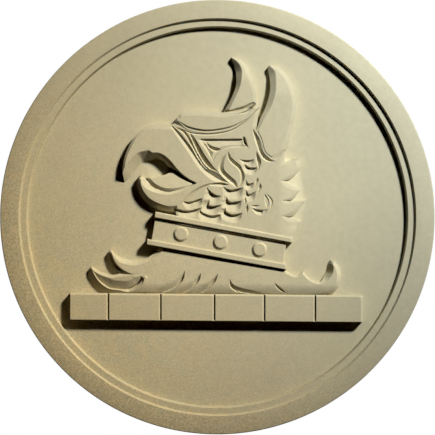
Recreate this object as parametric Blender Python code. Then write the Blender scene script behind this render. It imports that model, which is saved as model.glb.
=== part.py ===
"""Round stone wall medallion, carved in low relief with a griffin's head above a bar of six blocks.

One solid: a turned disc with a stepped rim, raised plates with bevelled edges, and cut grooves.
Metres, +Z up. The back lies in the plane y = 0 and the carving faces -Y.
"""

import math

import bmesh
import bpy
from mathutils import Vector

MM = 0.001

# The disc. Heights are measured forward from the sunk field, depths back from it.
DIAMETER = 600.0
BODY_DEPTH = 40.0
RIM_RISE = 11.0
RING_RISE = 7.0
RIM_INNER_RADIUS = 274.0
RING_INNER_RADIUS = 263.4
STEP_DRAFT = 1.2
RIM_EDGE_ROUND = 2.0
ROUND_STEPS = 3
BACK_EDGE_CHAMFER = 3.0
DISC_SIDES = 120
SHARP_ANGLE = math.radians(20.0)

# The carving's outlines are drawn on a sheet: x to the right, y down, in sheet units.
# The sheet's circle of SHEET_RADIUS units is the disc, and its bar lies SHEET_TURN off level.
SHEET_RADIUS = 217.3
SHEET_CENTRE = (217.3, 217.1)
SHEET_TURN = math.radians(0.47)
UNIT = DIAMETER / 2.0 / SHEET_RADIUS

# Raised plates: the height of each top above the field, and the slope of the bevels.
HEAD_TOP = 12.0
NECK_TOP = 11.6
BROW_TOP = 15.0
FRONT_EAR_TOP = 13.8
BACK_EAR_TOP = 14.2
CURL_TOP = 9.0
TONGUE_TOP = 3.0
BEVEL_SLOPE = math.radians(33.0)
LEAST_WALL = 1.0
ROOT_DEPTH = 8.0
SPAN_STEP = 5.0

# The collar and the bar under the neck.
BAND_TOP = 12.4
RAIL_TOP = 16.2
STUD_TOP = 14.6
STUD_RADIUS = 10.0
STUD_BEVEL = 1.4
STUD_SIDES = 24
STUDS = ((181.0, 234.0), (220.5, 242.0), (259.5, 249.5))
BAR_TOP = 13.5
BAR_LEFT, BAR_RIGHT = 70.3, 362.5
BAR_UPPER, BAR_LOWER = 293.0, 319.5
BAR_JOINTS = (108.5, 160.8, 214.5, 264.5, 315.2)
JOINT_WIDTH = 2.6
JOINT_DEPTH = 3.0
JOINT_OVERRUN = 2.0

# How far a cutter stands above the surface that it cuts.
CUTTER_RISE = 1.0

STONE_COLOR = (0.60, 0.56, 0.40, 1.0)
STONE_ROUGHNESS = 0.9

CORNER = True

# Each row is the top edge's point and the bevel foot's point under it: x, y, x, y.
# Rows marked CORNER are sharp, and the outline runs smoothly through the others.
FRONT_EAR = (
    (240.0, 64.0, 231.8, 57.2, CORNER),
    (244.3, 69.5, 246.0, 65.5),
    (249.0, 81.0, 252.8, 80.0),
    (252.5, 93.0, 256.0, 92.5),
    (254.0, 102.5, 257.5, 106.0, CORNER),
    (243.0, 107.0, 243.0, 110.0),
    (229.3, 110.0, 223.0, 112.5, CORNER),
    (234.5, 99.5, 229.5, 102.0),
    (240.0, 87.0, 235.7, 87.0),
    (242.0, 75.0, 236.3, 76.0),
    (241.9, 69.5, 235.8, 68.5),
)

BACK_EAR = (
    (273.0, 67.5, 268.8, 65.3, CORNER),
    (281.0, 75.0, 284.5, 72.5),
    (288.0, 86.5, 292.0, 85.0),
    (291.8, 101.0, 296.0, 101.0),
    (291.3, 114.0, 295.5, 115.5),
    (288.0, 128.5, 292.0, 131.0),
    (284.5, 139.5, 287.8, 147.0, CORNER),
    (279.0, 150.5, 281.0, 153.5),
    (270.5, 156.5, 269.5, 159.8),
    (264.5, 151.5, 262.0, 153.5),
    (261.8, 142.0, 258.8, 143.0),
    (258.5, 130.5, 255.5, 132.5, CORNER),
    (264.0, 119.5, 260.0, 119.5),
    (271.5, 106.0, 266.5, 105.0),
    (275.7, 92.0, 270.2, 90.0),
    (276.0, 78.0, 270.0, 77.0),
)

BROW = (
    (178.5, 121.0, 171.5, 127.0, CORNER),
    (185.0, 116.5, 183.0, 112.5),
    (205.0, 116.0, 205.0, 111.0),
    (225.0, 117.5, 224.0, 112.5),
    (242.0, 113.5, 241.0, 109.5),
    (255.0, 109.0, 259.0, 107.5, CORNER),
    (246.0, 119.5, 247.0, 122.0),
    (230.0, 127.3, 230.0, 131.5),
    (208.0, 130.8, 208.0, 135.0),
    (190.0, 128.0, 190.0, 133.0),
)

HEAD = (
    (172.0, 130.0, 170.5, 124.5, CORNER),
    (195.0, 122.0, 195.0, 120.0),
    (225.0, 124.0, 225.0, 121.0),
    (254.5, 113.5, 259.0, 110.0, CORNER),
    (252.0, 127.0, 256.0, 130.0, CORNER),
    (264.0, 127.0, 264.0, 125.0, CORNER),
    (279.0, 135.0, 281.0, 134.0, CORNER),
    (283.0, 147.0, 286.5, 148.5, CORNER),
    (281.5, 156.0, 284.5, 154.5),
    (280.0, 165.5, 284.5, 162.5, CORNER),
    (289.0, 163.8, 290.0, 160.3),
    (295.0, 160.0, 298.5, 157.0, CORNER),
    (296.0, 167.0, 300.5, 167.5),
    (288.5, 175.8, 291.5, 178.0),
    (279.5, 181.0, 283.5, 181.0, CORNER),
    (287.0, 188.0, 291.0, 184.8),
    (296.0, 190.8, 300.5, 189.3, CORNER),
    (290.0, 197.3, 293.0, 198.8),
    (280.0, 200.6, 284.0, 200.4, CORNER),
    (288.0, 204.5, 292.0, 201.6),
    (301.5, 201.3, 306.5, 199.7, CORNER),
    (291.0, 211.5, 294.0, 214.5),
    (280.5, 216.3, 284.0, 216.6, CORNER),
    (287.0, 221.5, 290.0, 218.3),
    (297.0, 222.5, 301.5, 220.5, CORNER),
    (290.0, 232.0, 293.0, 233.0),
    (283.0, 241.5, 286.0, 243.0, CORNER),
    (181.0, 224.0, 178.0, 224.0, CORNER),
    (178.5, 214.0, 176.2, 214.0, CORNER),
    (177.0, 205.3, 175.5, 211.5, CORNER),
    (168.0, 205.8, 167.0, 211.0),
    (158.0, 203.3, 154.5, 207.0),
    (150.0, 199.0, 145.5, 200.8),
    (144.5, 192.0, 139.6, 193.3),
    (141.8, 184.0, 137.8, 182.5),
    (142.3, 178.2, 140.8, 175.5, CORNER),
    (145.5, 180.0, 147.0, 177.8),
    (151.5, 186.0, 153.0, 183.0),
    (161.0, 191.3, 161.5, 188.5),
    (172.0, 193.0, 172.0, 190.5),
    (184.0, 190.0, 183.5, 187.5),
    (198.0, 183.2, 192.0, 184.5, CORNER),
    (189.0, 178.8, 186.0, 182.3),
    (181.0, 172.0, 178.0, 176.0),
    (173.0, 163.5, 170.0, 169.5),
    (165.0, 155.3, 163.0, 161.5),
    (158.0, 152.6, 157.5, 158.7),
    (151.0, 153.0, 151.0, 159.3),
    (143.0, 155.8, 144.5, 162.5),
    (135.0, 162.0, 140.5, 168.0),
    (129.0, 170.0, 134.5, 176.5),
    (125.8, 174.5, 123.6, 181.0, CORNER),
    (125.6, 168.0, 122.8, 169.0),
    (127.2, 160.0, 123.9, 159.5),
    (130.8, 150.0, 127.8, 148.5),
    (137.5, 140.0, 134.5, 137.0),
    (148.0, 131.8, 146.0, 127.0),
    (160.0, 129.3, 159.5, 123.5),
)

NECK = (
    (165.0, 246.0, 161.0, 245.0, CORNER),
    (283.0, 262.0, 286.0, 262.0, CORNER),
    (286.0, 275.5, 287.5, 271.5),
    (293.0, 280.0, 293.5, 276.3),
    (301.0, 278.0, 303.5, 272.5, CORNER),
    (306.0, 281.0, 308.5, 277.0),
    (314.0, 285.0, 314.5, 281.0),
    (322.0, 285.5, 321.5, 282.0),
    (328.5, 281.0, 325.2, 278.5),
    (332.3, 272.0, 327.2, 268.5),
    (332.5, 264.5, 330.8, 260.0, CORNER),
    (335.5, 269.0, 338.5, 266.0),
    (337.0, 277.0, 341.0, 276.5),
    (334.5, 285.5, 338.0, 287.5),
    (329.0, 290.0, 331.0, 294.6, CORNER),
    (310.0, 289.5, 310.0, 294.4),
    (287.0, 288.8, 286.0, 294.2, CORNER),
    (262.0, 288.0, 262.0, 294.0),
    (240.0, 287.2, 240.0, 293.8, CORNER),
    (232.0, 281.0, 233.0, 293.7, CORNER),
    (222.0, 286.5, 222.0, 293.6),
    (200.0, 286.5, 200.0, 293.4),
    (170.0, 287.0, 170.0, 293.2),
    (149.0, 286.0, 139.0, 293.0, CORNER),
    (147.5, 279.5, 142.5, 277.5, CORNER),
    (130.0, 271.5, 128.0, 274.3),
    (120.5, 268.3, 118.0, 272.0),
    (115.5, 262.5, 110.8, 262.5),
    (113.0, 256.5, 110.3, 251.0, CORNER),
    (122.0, 264.2, 122.5, 253.8),
    (134.0, 265.5, 134.0, 258.5),
    (148.0, 262.0, 146.0, 258.0),
    (159.0, 255.0, 155.0, 252.0),
)

LOWER_CURL = (
    (93.5, 271.5, 90.5, 267.3, CORNER),
    (103.0, 277.6, 104.0, 274.0),
    (118.0, 280.5, 118.0, 276.5),
    (133.0, 278.5, 132.0, 274.5),
    (143.0, 277.0, 146.0, 274.0, CORNER),
    (139.0, 282.0, 141.0, 284.5),
    (131.0, 286.5, 132.5, 290.5),
    (118.0, 286.8, 118.0, 291.0),
    (104.0, 281.5, 103.0, 286.0),
    (97.0, 276.5, 95.0, 278.5),
)

TONGUE = (
    (152.5, 178.6, 147.5, 178.0, CORNER),
    (166.0, 177.0, 165.0, 175.5),
    (175.0, 173.5, 175.0, 171.0, CORNER),
    (183.0, 179.3, 184.0, 177.5),
    (190.0, 184.0, 193.0, 184.0, CORNER),
    (177.0, 187.6, 178.0, 190.8),
    (167.0, 187.4, 165.0, 190.8),
    (158.5, 183.6, 155.0, 187.0),
)

# The open mouth, sunk a little below the field. Its floor slopes from the lips down to the back.
MOUTH = (
    (146.0, 157.0),
    (158.0, 153.5),
    (166.0, 158.0),
    (176.0, 169.0),
    (194.0, 184.0),
    (183.0, 189.0),
    (165.0, 190.5),
    (152.0, 184.5),
    (142.0, 175.0),
)
MOUTH_LIP = (138.0, 178.0)
MOUTH_BACK = (166.0, 160.0)
MOUTH_DEPTH = 4.5

# The eye, sunk a little below the face round it.
EYE = (
    (202.0, 139.3, CORNER),
    (245.0, 139.3, CORNER),
    (248.0, 147.5, CORNER),
    (234.0, 146.3),
    (222.0, 150.5),
    (213.5, 161.0, CORNER),
    (207.5, 149.0),
)
EYE_DEPTH = 1.6

# Grooves: width, depth and the share of the width on the left of the line, then its points.
GROOVES = {
    "cere_outer": (
        (9.0, 3.6, 0.3),
        ((171.0, 126.5), (184.5, 137.5), (196.0, 155.0), (208.5, 171.5), (227.0, 182.0)),
    ),
    "cere_middle": (
        (3.6, 2.4, 0.6),
        ((177.5, 129.0), (187.0, 136.5), (197.0, 154.0), (209.0, 170.0)),
    ),
    "cere_inner": (
        (7.0, 3.2, 0.75),
        ((190.0, 133.5), (197.0, 143.5), (203.0, 156.5), (216.5, 171.0)),
    ),
    "eye_upper": (
        (5.4, 2.8, 0.6),
        ((200.0, 139.6), (222.0, 139.8), (246.0, 139.4)),
    ),
    "eye_end": (
        (4.4, 2.4, 0.5),
        ((244.0, 138.5), (245.6, 143.0), (248.5, 148.0)),
    ),
    "pupil": (
        (5.0, 2.4, 0.35),
        ((207.0, 141.0), (212.0, 147.4), (221.0, 149.4)),
    ),
    "leaf_right": (
        (8.5, 3.2, 0.3),
        ((228.2, 152.0), (232.0, 160.8), (241.6, 168.0), (243.5, 177.0), (238.0, 187.5)),
    ),
    "leaf_left": (
        (8.0, 3.0, 0.6),
        ((227.5, 152.5), (220.5, 161.5), (220.5, 171.0), (230.0, 179.5), (238.0, 187.5)),
    ),
    "jaw_edge": (
        (3.6, 2.0, 0.5),
        ((180.0, 204.0), (200.0, 189.5), (212.0, 184.6), (228.0, 184.2)),
    ),
    "ear_root": (
        (7.0, 3.4, 0.7),
        ((254.0, 131.5), (258.6, 144.0), (263.5, 156.0), (272.0, 160.0), (288.0, 147.5)),
    ),
    "temple_cut": (
        (6.0, 3.0, 0.6),
        ((256.0, 152.5), (260.6, 161.0), (259.8, 171.0)),
    ),
    "neck_sweep_1": (
        (6.0, 3.0, 0.4),
        ((184.5, 274.0), (179.5, 283.5), (162.0, 292.5)),
    ),
    "neck_sweep_2": (
        (6.0, 2.8, 0.4),
        ((200.2, 276.0), (195.0, 284.5), (185.0, 292.5)),
    ),
    "neck_sweep_3": (
        (6.0, 2.8, 0.4),
        ((217.0, 277.5), (211.0, 284.5), (200.0, 292.5)),
    ),
    "neck_cleft": (
        (7.0, 3.6, 0.5),
        ((229.8, 279.5), (232.4, 287.0), (238.0, 294.0)),
    ),
    "neck_fold": (
        (6.0, 2.8, 0.5),
        ((273.5, 281.5), (279.0, 288.5), (288.0, 294.5)),
    ),
}
GROOVE_STEP = 4.0
END_TAPER = 0.06

# Feather tips, cut as crescents from left to right: the ends and the lowest point, then the depth.
CRESCENT_WIDTH = 7.0
CRESCENTS = (
    (208.0, 187.5, 215.0, 196.0, 224.0, 193.0, 2.8),
    (207.5, 198.5, 213.5, 206.6, 225.0, 202.5, 3.2),
    (199.0, 209.0, 211.0, 216.6, 224.0, 211.0, 2.6),
    (225.0, 186.5, 233.5, 190.4, 245.0, 185.5, 2.6),
    (225.5, 196.0, 233.5, 202.6, 245.0, 198.0, 3.2),
    (223.5, 207.5, 232.5, 215.6, 245.0, 210.5, 3.0),
    (241.0, 159.0, 248.0, 161.6, 255.5, 157.5, 2.0),
    (243.0, 161.0, 250.5, 168.6, 259.0, 166.0, 2.4),
    (245.0, 180.0, 250.5, 184.4, 260.0, 176.5, 2.6),
    (245.0, 189.5, 251.5, 195.0, 262.5, 183.0, 2.8),
    (249.0, 204.5, 256.0, 207.0, 264.0, 203.5, 2.0),
    (250.5, 206.5, 262.0, 211.2, 272.0, 202.0, 2.6),
    (182.0, 199.5, 191.5, 203.0, 205.0, 194.0, 2.4),
    (174.0, 206.0, 188.5, 211.8, 206.5, 204.0, 2.6),
)
CRESCENT_LEFT_SHARE = 0.68


def on_sheet(x, y):
    """A sheet point as X and Z in millimetres from the disc's centre, with the bar made level."""
    across = (x - SHEET_CENTRE[0]) * UNIT
    up = (SHEET_CENTRE[1] - y) * UNIT
    turn_cos = math.cos(SHEET_TURN)
    turn_sin = math.sin(SHEET_TURN)
    return across * turn_cos - up * turn_sin, across * turn_sin + up * turn_cos


def place(across, up, height):
    """A point in metres: across and up on the face, and its height above the field."""
    return Vector((across, -(BODY_DEPTH + height), up)) * MM


def curve_point(before, start, end, after, share):
    """A point on the smooth curve from start to end, which also looks at its two neighbours."""
    squared = share * share
    cubed = squared * share
    point = []
    for a, b, c, d in zip(before, start, end, after):
        bend = (2 * a - 5 * b + 4 * c - d) * squared + (3 * b - a - 3 * c + d) * cubed
        point.append(0.5 * (2 * b + (c - a) * share + bend))
    return point


def smooth_stretch(rows, spacing=SPAN_STEP):
    """Points along one smooth stretch, without its last row. Two rows alone make a straight line."""
    if len(rows) == 2:
        return [list(rows[0])]
    points = []
    for index in range(len(rows) - 1):
        start, end = rows[index], rows[index + 1]
        before = rows[index - 1] if index else [2 * s - e for s, e in zip(start, end)]
        last = index + 2 >= len(rows)
        after = [2 * e - s for s, e in zip(start, end)] if last else rows[index + 2]
        steps = max(1, round(math.dist(start[:2], end[:2]) * UNIT / spacing))
        points += [curve_point(before, start, end, after, step / steps) for step in range(steps)]
    return points


def smooth_loop(rows):
    """A closed outline through the rows, sharp at the rows marked CORNER."""
    corners = [index for index, row in enumerate(rows) if len(row) % 2]
    if not corners:
        ring = [list(row) for row in rows]
        wrapped = ring[-1:] + ring + ring[:2]
        points = []
        for index in range(1, len(ring) + 1):
            before, start, end, after = wrapped[index - 1 : index + 3]
            steps = max(1, round(math.dist(start[:2], end[:2]) * UNIT / SPAN_STEP))
            points += [curve_point(before, start, end, after, step / steps) for step in range(steps)]
        return points
    width = len(rows[0]) - len(rows[0]) % 2
    bare = [list(row[:width]) for row in rows]
    points = []
    for number, first in enumerate(corners):
        last = corners[(number + 1) % len(corners)]
        count = (last - first) % len(rows) or len(rows)
        points += smooth_stretch([bare[(first + step) % len(rows)] for step in range(count + 1)])
    return points


def smooth_line(rows):
    """An open smooth line through the rows, with both ends."""
    return smooth_stretch([list(row) for row in rows], GROOVE_STEP) + [list(rows[-1])]


def closed_object(name, sections):
    """A closed solid with flat ends, through sections of equally many points, facing outwards."""
    bm = bmesh.new()
    rings = [[bm.verts.new(point) for point in section] for section in sections]
    count = len(rings[0])
    for lower, upper in zip(rings, rings[1:]):
        for index in range(count):
            after = (index + 1) % count
            bm.faces.new((lower[index], lower[after], upper[after], upper[index]))
    bm.faces.new(list(reversed(rings[0])))
    bm.faces.new(rings[-1])
    if bm.calc_volume(signed=True) < 0.0:
        bmesh.ops.reverse_faces(bm, faces=bm.faces[:])
    mesh = bpy.data.meshes.new(name)
    bm.to_mesh(mesh)
    bm.free()
    return bpy.data.objects.new(name, mesh)


def plate(name, rows, top):
    """A raised plate: a flat top, a bevel of the set slope down to the foot, and a sheer wall."""
    points = smooth_loop(rows)
    roots = []
    feet = []
    tops = []
    for x_top, y_top, x_foot, y_foot in points:
        run = math.dist((x_top, y_top), (x_foot, y_foot)) * UNIT
        foot = max(LEAST_WALL, top - run * math.tan(BEVEL_SLOPE))
        roots.append(place(*on_sheet(x_foot, y_foot), -ROOT_DEPTH))
        feet.append(place(*on_sheet(x_foot, y_foot), foot))
        tops.append(place(*on_sheet(x_top, y_top), top))
    return closed_object(name, (roots, feet, tops))


def block(name, corners, top):
    """A sheer-sided block on a polygon of sheet points."""
    loops = [[place(*on_sheet(x, y), height) for x, y in corners] for height in (-ROOT_DEPTH, top)]
    return closed_object(name, loops)


def bar_point(x, y):
    """A sheet point on the bar, whose edges follow the sheet's turn."""
    return x, y + (x - BAR_LEFT) * math.tan(SHEET_TURN)


def bar():
    corners = [
        bar_point(BAR_LEFT, BAR_UPPER),
        bar_point(BAR_RIGHT, BAR_UPPER),
        bar_point(BAR_RIGHT, BAR_LOWER),
        bar_point(BAR_LEFT, BAR_LOWER),
    ]
    return block("bar", corners, BAR_TOP)


def studs():
    """The collar's round studs, each with a narrow bevel round its top."""
    made = []
    for number, (x, y) in enumerate(STUDS, start=1):
        across, up = on_sheet(x, y)
        loops = []
        for radius, height in (
            (STUD_RADIUS, 0.0),
            (STUD_RADIUS, STUD_TOP - STUD_BEVEL),
            (STUD_RADIUS - STUD_BEVEL, STUD_TOP),
        ):
            turns = [math.tau * side / STUD_SIDES for side in range(STUD_SIDES)]
            ring = [place(across + radius * math.cos(t), up + radius * math.sin(t), height) for t in turns]
            loops.append(ring)
        made.append(closed_object(f"stud_{number}", loops))
    return made


def collar():
    """The band round the neck with a rail along each long edge."""
    band = [(156.0, 214.0), (286.5, 241.0), (283.0, 267.0), (151.0, 243.0)]
    upper_rail = [(155.5, 211.5), (292.0, 238.6), (292.0, 243.8), (155.0, 217.3)]
    lower_rail = [(147.5, 240.0), (286.2, 265.8), (286.2, 269.6), (147.0, 244.9)]
    return [
        block("band", band, BAND_TOP),
        block("upper_rail", upper_rail, RAIL_TOP),
        block("lower_rail", lower_rail, RAIL_TOP),
    ]


def vee_cutter(name, points, section, surface, end_taper=END_TAPER):
    """A cutter with a V section along a line of sheet points, drawn in towards both ends."""
    width, depth, left_share = section
    flat = [Vector(on_sheet(x, y)) for x, y in points]
    lengths = [0.0]
    for start, end in zip(flat, flat[1:]):
        lengths.append(lengths[-1] + (end - start).length)
    sections = []
    for index, point in enumerate(flat):
        ahead = flat[min(index + 1, len(flat) - 1)] - flat[max(index - 1, 0)]
        left = Vector((-ahead.y, ahead.x)).normalized()
        share = lengths[index] / lengths[-1]
        taper = max(end_taper, math.sqrt(max(0.0, math.sin(math.pi * share))))
        cut = depth * taper
        brim = width * taper * (cut + CUTTER_RISE) / cut
        near = point + left * brim * left_share
        far = point - left * brim * (1.0 - left_share)
        brim_height = surface + CUTTER_RISE
        sections.append((place(*near, brim_height), place(*far, brim_height), place(*point, surface - cut)))
    return closed_object(name, sections)


def groove_cutters():
    made = []
    for name, (section, rows) in GROOVES.items():
        surface = NECK_TOP if name.startswith("neck") else HEAD_TOP
        made.append(vee_cutter(name, smooth_line(rows), section, surface))
    return made


def feather_cutters():
    """Crescent cuts under the feathers, steep on the side of the feather above them."""
    made = []
    for number, (x1, y1, x2, y2, x3, y3, depth) in enumerate(CRESCENTS, start=1):
        line = smooth_line(((x1, y1), (x2, y2), (x3, y3)))
        section = (CRESCENT_WIDTH, depth, CRESCENT_LEFT_SHARE)
        made.append(vee_cutter(f"feather_{number}", line, section, HEAD_TOP))
    return made


def joint_cutters():
    """The upright joints between the bar's blocks."""
    made = []
    for number, x in enumerate(BAR_JOINTS, start=1):
        line = (bar_point(x, BAR_UPPER - JOINT_OVERRUN), bar_point(x, BAR_LOWER + JOINT_OVERRUN))
        section = (JOINT_WIDTH, JOINT_DEPTH, 0.5)
        made.append(vee_cutter(f"joint_{number}", line, section, BAR_TOP, end_taper=1.0))
    return made


def mouth_cutter():
    """The sunk mouth, whose floor slopes evenly from its lip to its back."""
    lip = Vector(on_sheet(*MOUTH_LIP))
    way = Vector(on_sheet(*MOUTH_BACK)) - lip
    floor = []
    lid = []
    for x, y in smooth_loop(MOUTH):
        spot = Vector(on_sheet(x, y))
        share = (spot - lip).dot(way) / way.length_squared
        floor.append(place(*spot, -MOUTH_DEPTH * share))
        lid.append(place(*spot, CUTTER_RISE))
    return closed_object("mouth", (floor, lid))


def eye_cutter():
    """The shallow recess of the eye."""
    points = [on_sheet(x, y) for x, y in smooth_loop(EYE)]
    loops = [[place(*point, HEAD_TOP + rise) for point in points] for rise in (-EYE_DEPTH, CUTTER_RISE)]
    return closed_object("eye", loops)


def disc():
    """The turned body: a flat back, a straight edge, the rim, two steps down and the field."""
    radius = DIAMETER / 2.0
    profile = [(radius - BACK_EDGE_CHAMFER, -BODY_DEPTH), (radius, -BODY_DEPTH + BACK_EDGE_CHAMFER)]
    for step in range(ROUND_STEPS + 1):
        turn = math.pi / 2.0 * step / ROUND_STEPS
        distance = radius - RIM_EDGE_ROUND * (1.0 - math.cos(turn))
        profile.append((distance, RIM_RISE - RIM_EDGE_ROUND * (1.0 - math.sin(turn))))
    profile += [
        (RIM_INNER_RADIUS, RIM_RISE),
        (RIM_INNER_RADIUS - STEP_DRAFT, RING_RISE),
        (RING_INNER_RADIUS, RING_RISE),
        (RING_INNER_RADIUS - STEP_DRAFT, 0.0),
    ]
    loops = []
    for distance, height in profile:
        turns = [math.tau * side / DISC_SIDES for side in range(DISC_SIDES)]
        loops.append([place(distance * math.cos(t), distance * math.sin(t), height) for t in turns])
    return closed_object("medallion", loops)


def stone():
    """Fine pale buff stone, dull all over."""
    material = bpy.data.materials.new("buff_stone")
    material.use_nodes = True
    shader = material.node_tree.nodes["Principled BSDF"]
    shader.inputs["Base Color"].default_value = STONE_COLOR
    shader.inputs["Roughness"].default_value = STONE_ROUGHNESS
    shader.inputs["Metallic"].default_value = 0.0
    return material


def combine(target, operation, pieces):
    """Joins pieces to the target, or cuts them from it, through a collection of hidden objects."""
    group = bpy.data.collections.new(f"{operation.lower()}_{len(target.modifiers)}")
    bpy.context.scene.collection.children.link(group)
    for piece in pieces:
        group.objects.link(piece)
        piece.hide_render = True
        piece.display_type = "WIRE"
    modifier = target.modifiers.new(operation.title(), "BOOLEAN")
    modifier.operation = operation
    modifier.solver = "EXACT"
    modifier.operand_type = "COLLECTION"
    modifier.collection = group


def main():
    for item in list(bpy.data.objects):
        bpy.data.objects.remove(item, do_unlink=True)
    body = disc()
    bpy.context.scene.collection.objects.link(body)
    body.data.materials.append(stone())
    body.data.shade_smooth()
    body.data.set_sharp_from_angle(angle=SHARP_ANGLE)
    combine(body, "DIFFERENCE", [mouth_cutter()])
    raised = [
        plate("head", HEAD, HEAD_TOP),
        plate("neck", NECK, NECK_TOP),
        plate("lower_curl", LOWER_CURL, CURL_TOP),
        plate("front_ear", FRONT_EAR, FRONT_EAR_TOP),
        plate("back_ear", BACK_EAR, BACK_EAR_TOP),
        bar(),
    ]
    combine(body, "UNION", raised)
    combine(body, "DIFFERENCE", [eye_cutter(), *groove_cutters(), *feather_cutters(), *joint_cutters()])
    laid_on = [plate("brow", BROW, BROW_TOP), plate("tongue", TONGUE, TONGUE_TOP), *collar(), *studs()]
    combine(body, "UNION", laid_on)


main()
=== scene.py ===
"""The dressed medallion: one finely carved stone disc, its material, the floor, the lights and the camera.

Metres, +Z up. The back lies in the plane y = 0 and the carving faces -Y. Lengths named here are
millimetres, and outlines are drawn on a sheet with x to the right and y down, in sheet units.
"""

import math

import bmesh
import bpy
import numpy as np
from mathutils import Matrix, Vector
from mathutils.geometry import delaunay_2d_cdt
from mathutils.kdtree import KDTree


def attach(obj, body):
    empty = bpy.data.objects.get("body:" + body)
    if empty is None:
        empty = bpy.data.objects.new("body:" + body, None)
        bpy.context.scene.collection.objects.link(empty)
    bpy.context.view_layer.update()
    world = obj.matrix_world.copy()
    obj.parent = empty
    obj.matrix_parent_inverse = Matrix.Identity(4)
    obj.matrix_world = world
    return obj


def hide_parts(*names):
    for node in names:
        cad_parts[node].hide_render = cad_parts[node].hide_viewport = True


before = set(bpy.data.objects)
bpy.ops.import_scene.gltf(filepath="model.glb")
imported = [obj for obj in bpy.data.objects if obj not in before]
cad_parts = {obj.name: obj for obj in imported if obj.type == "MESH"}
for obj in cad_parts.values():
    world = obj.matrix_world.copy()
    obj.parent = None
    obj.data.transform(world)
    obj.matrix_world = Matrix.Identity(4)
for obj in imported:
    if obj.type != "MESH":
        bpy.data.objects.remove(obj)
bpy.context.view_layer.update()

MM = 0.001

# The disc. Heights are measured forward from the sunk field, depths back from it.
DIAMETER = 600.0
BODY_DEPTH = 40.0
RIM_RISE = 11.6
RING_RISE = 7.4
RIM_INNER_RADIUS = 274.0
RING_INNER_RADIUS = 263.4
STEP_DRAFT = 1.8
STEP_ROUND = 0.6
RIM_EDGE_ROUND = 2.0
RIM_EDGE_STEPS = 3
BACK_EDGE_CHAMFER = 3.0
DISC_SIDES = 360

# The sheet's circle of SHEET_RADIUS units is the disc, and its bar lies SHEET_TURN off level.
SHEET_RADIUS = 217.3
SHEET_CENTRE = (217.3, 217.1)
SHEET_TURN = math.radians(0.47)
UNIT = DIAMETER / 2.0 / SHEET_RADIUS

# Raised plates: the height of each top above the field.
HEAD_TOP = 13.6
MANE_TOP = 12.4
NECK_TOP = 12.0
BROW_TOP = 16.0
FRONT_EAR_TOP = 14.6
BACK_EAR_TOP = 14.4
CURL_TOP = 9.0
TONGUE_TOP = 9.8
BAND_TOP = 11.6
RAIL_TOP = 16.1
STUD_TOP = 14.6
BAR_TOP = 14.2

# How edges are cut: the bevels' slope, how soft their upper edge is, and how a sheer wall leans.
BEVEL_SLOPE = math.tan(math.radians(42.0))
EDGE_SOFTNESS = 0.25
WALL_RUN = 0.4
EDGE_TOLERANCE = 0.08
# Edges that face the upper right are cut more gently. The change takes up FACING_BLEND of the cosine
# between the edge's way and that one, and the share FACING_START of it lies below zero.
UPPER_RIGHT = (0.669, 0.743)
UPPER_SLOPE = 0.22
FACING_BLEND = 0.4
FACING_START = 0.3
BROW_SLOPE = 0.66
BACK_EAR_SLOPE = 0.66
STRAIGHT_SLOPE = 0.9

# The collar and the bar: corners of each foot, and the widths of the chamfers on the upper, right,
# lower and left edges, in sheet units. The bar's corners are given as if the sheet weren't turned.
BAND = ((156.0, 214.0), (286.5, 241.0), (283.0, 267.0), (151.0, 243.0))
UPPER_RAIL = ((155.5, 211.8), (292.0, 237.6), (292.0, 242.4), (155.0, 217.2))
LOWER_RAIL = ((147.5, 239.0), (286.2, 263.9), (286.2, 269.4), (147.0, 244.2))
BAND_INSETS = (0.5, 0.9, 0.5, 0.4)
RAIL_INSETS = (1.1, 1.2, 0.3, 0.3)
STUDS = ((181.0, 234.0), (220.5, 242.0), (259.5, 249.5))
STUD_RADIUS = 10.0
STUD_INSET = 1.7
STUD_POINTS = 24
BAR_LEFT, BAR_RIGHT = 70.3, 362.5
BAR_UPPER, BAR_LOWER = 293.0, 319.5
BAR = ((BAR_LEFT, BAR_UPPER), (BAR_RIGHT, BAR_UPPER), (BAR_RIGHT, BAR_LOWER), (BAR_LEFT, BAR_LOWER))
BAR_INSETS = (1.6, 1.8, 0.3, 0.3)
# The joints between the bar's blocks: a groove with a wide chamfer on its left, as widths to the right
# and the left and depths, and how far the joints end inside the bar's upper and lower edges.
BAR_JOINTS = (108.5, 160.8, 214.5, 264.5, 315.2)
JOINT_CUTS = ((1.0, 0.9, 9.0), (0.6, 2.0, 1.7))
JOINT_INSETS = (1.2, 1.0)

# The neck swells from one level to the next below the disc's middle, then rounds off.
NECK_SWELL = 2.2
NECK_ROUND_DROP = 4.0
NECK_SWELL_START = 50.0
NECK_ROUND_START = 92.0
NECK_ROUND_END = 106.0

# Each ear's drop to its tip: the bend where it starts, and its slope.
FRONT_EAR_DROP = ((240.0, 82.0), 0.3)
BACK_EAR_DROP = ((272.0, 96.0), 0.2)
EAR_BLEND = 14.0

# The soft feathers at the right fall away beyond an edge, in a box of the sheet.
MANE_BOX = ((274.0, 150.0), (310.0, 236.0))
MANE_EDGE = (278.0, 180.0)
MANE_FALL = 0.2
MANE_BLEND = 14.0
MANE_SLOPE = 0.45

# The beak's hook rises from this line in a box of the sheet, with a slope at each of two places.
HOOK_BOX = ((119.0, 146.0), (172.0, 185.0))
HOOK_LINE = ((122.5, 184.5), (130.0, 177.0), (134.8, 170.3), (139.2, 165.0), (142.7, 161.3), (143.3, 161.2),
             (146.5, 160.6), (149.5, 160.0), (152.5, 159.4), (157.3, 158.5), (162.8, 160.8), (168.3, 166.2),
             (174.8, 169.6), (182.2, 175.4))
HOOK_PLACES = ((149.0, 161.0), (171.0, 161.0))
HOOK_SLOPES = (1.0, 4.5)

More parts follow.
